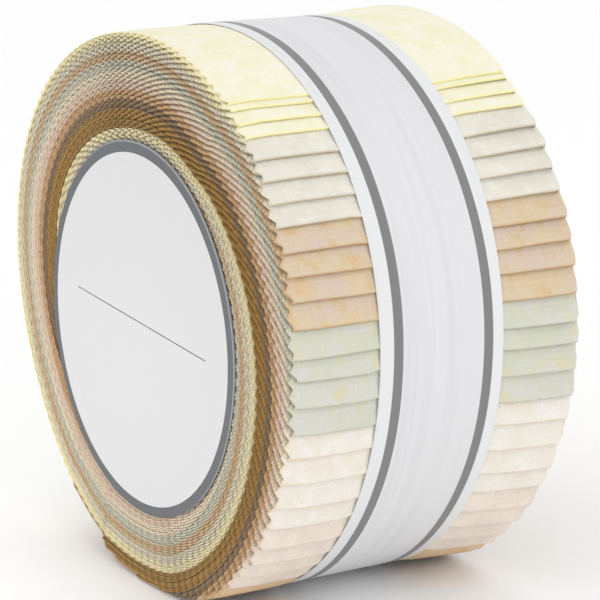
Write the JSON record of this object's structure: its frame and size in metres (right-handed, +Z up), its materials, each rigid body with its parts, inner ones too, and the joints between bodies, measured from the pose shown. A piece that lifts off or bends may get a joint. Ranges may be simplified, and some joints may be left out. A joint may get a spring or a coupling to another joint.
{
  "type": "rolled fabric strip bundle",
  "caption": "Bundle of folded quilting cotton strips wound flat into a thick roll, their ends fanned, held by a paper band, with a round card on one end",
  "frame": {"origin": "centre of the footprint, on the surface that the roll lies on", "axes": "+Z up; Y is the roll's winding axis, with the round card on the -Y end; X runs across the roll"},
  "size_m": [0.1218, 0.0648, 0.1161],
  "materials": {
    "cloth": "plain woven cotton in pale dyed colours, matt",
    "paper": "coated white paper with two grey lines",
    "card": "white card with a grey rim"
  },
  "bodies": {
    "root": {"roll": "cloth", "band": "paper", "end_card": "card"}
  },
  "joints": []
}
